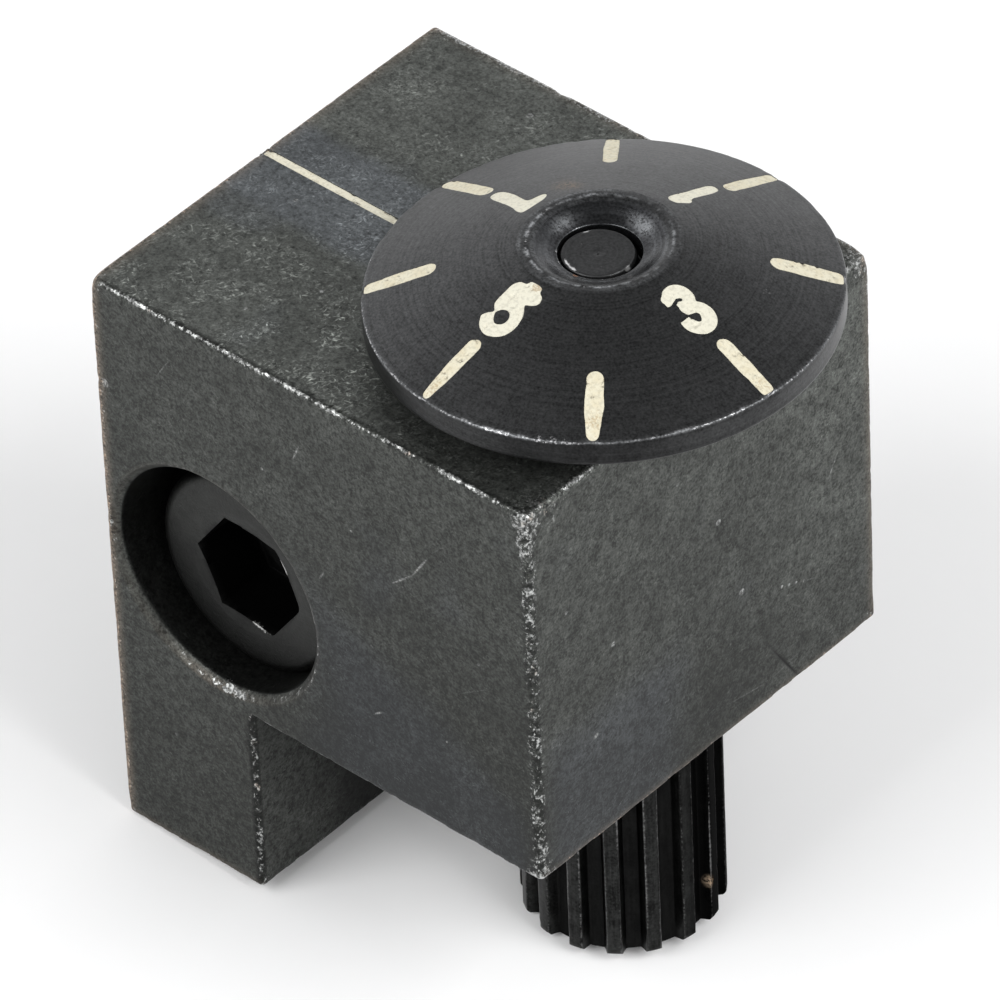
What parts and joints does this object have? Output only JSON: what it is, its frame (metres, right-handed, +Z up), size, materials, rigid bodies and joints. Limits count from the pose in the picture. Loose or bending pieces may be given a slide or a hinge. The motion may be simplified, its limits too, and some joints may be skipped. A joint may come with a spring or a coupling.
{
  "type": "thread dial indicator",
  "caption": "L-shaped steel block with a vertical spindle: a pinion below meshes with a lathe leadscrew and turns a conical numbered dial above, read against a line on the block.",
  "frame": {"origin": "centre of the bounding box in plan, at the level of the pinion's lower end, which is the lowest point", "axes": "+Z up along the spindle axis, +Y from the front face with the screw head to the face that sits on the apron, +X from the leg towards the dial's overhang"},
  "size_m": [0.0288, 0.0276, 0.0358],
  "materials": {
    "block_steel": "black oxide, tumbled matt, worn bright on the edges",
    "screw_steel": "black oxide, satin",
    "pinion_steel": "black oxide, oiled",
    "washer_steel": "plain steel, dull",
    "dial_steel": "black oxide over turning marks, satin",
    "enamel": "cream enamel, a little pitted"
  },
  "bodies": {
    "block": {"body": "block_steel", "mounting_screw": "screw_steel", "thrust_washer": "washer_steel", "index_line": "enamel"},
    "dial_and_pinion": {"pinion_spindle": "pinion_steel", "dial": "dial_steel", "dial_marks": "enamel", "dial_numerals": "enamel"}
  },
  "joints": [
    {"name": "dial_spin", "type": "hinge", "parent": "block", "child": "dial_and_pinion", "pos_m": [0.00441, -0.00312, 0.0108], "axis": [0, 0, 1], "continuous": true}
  ]
}
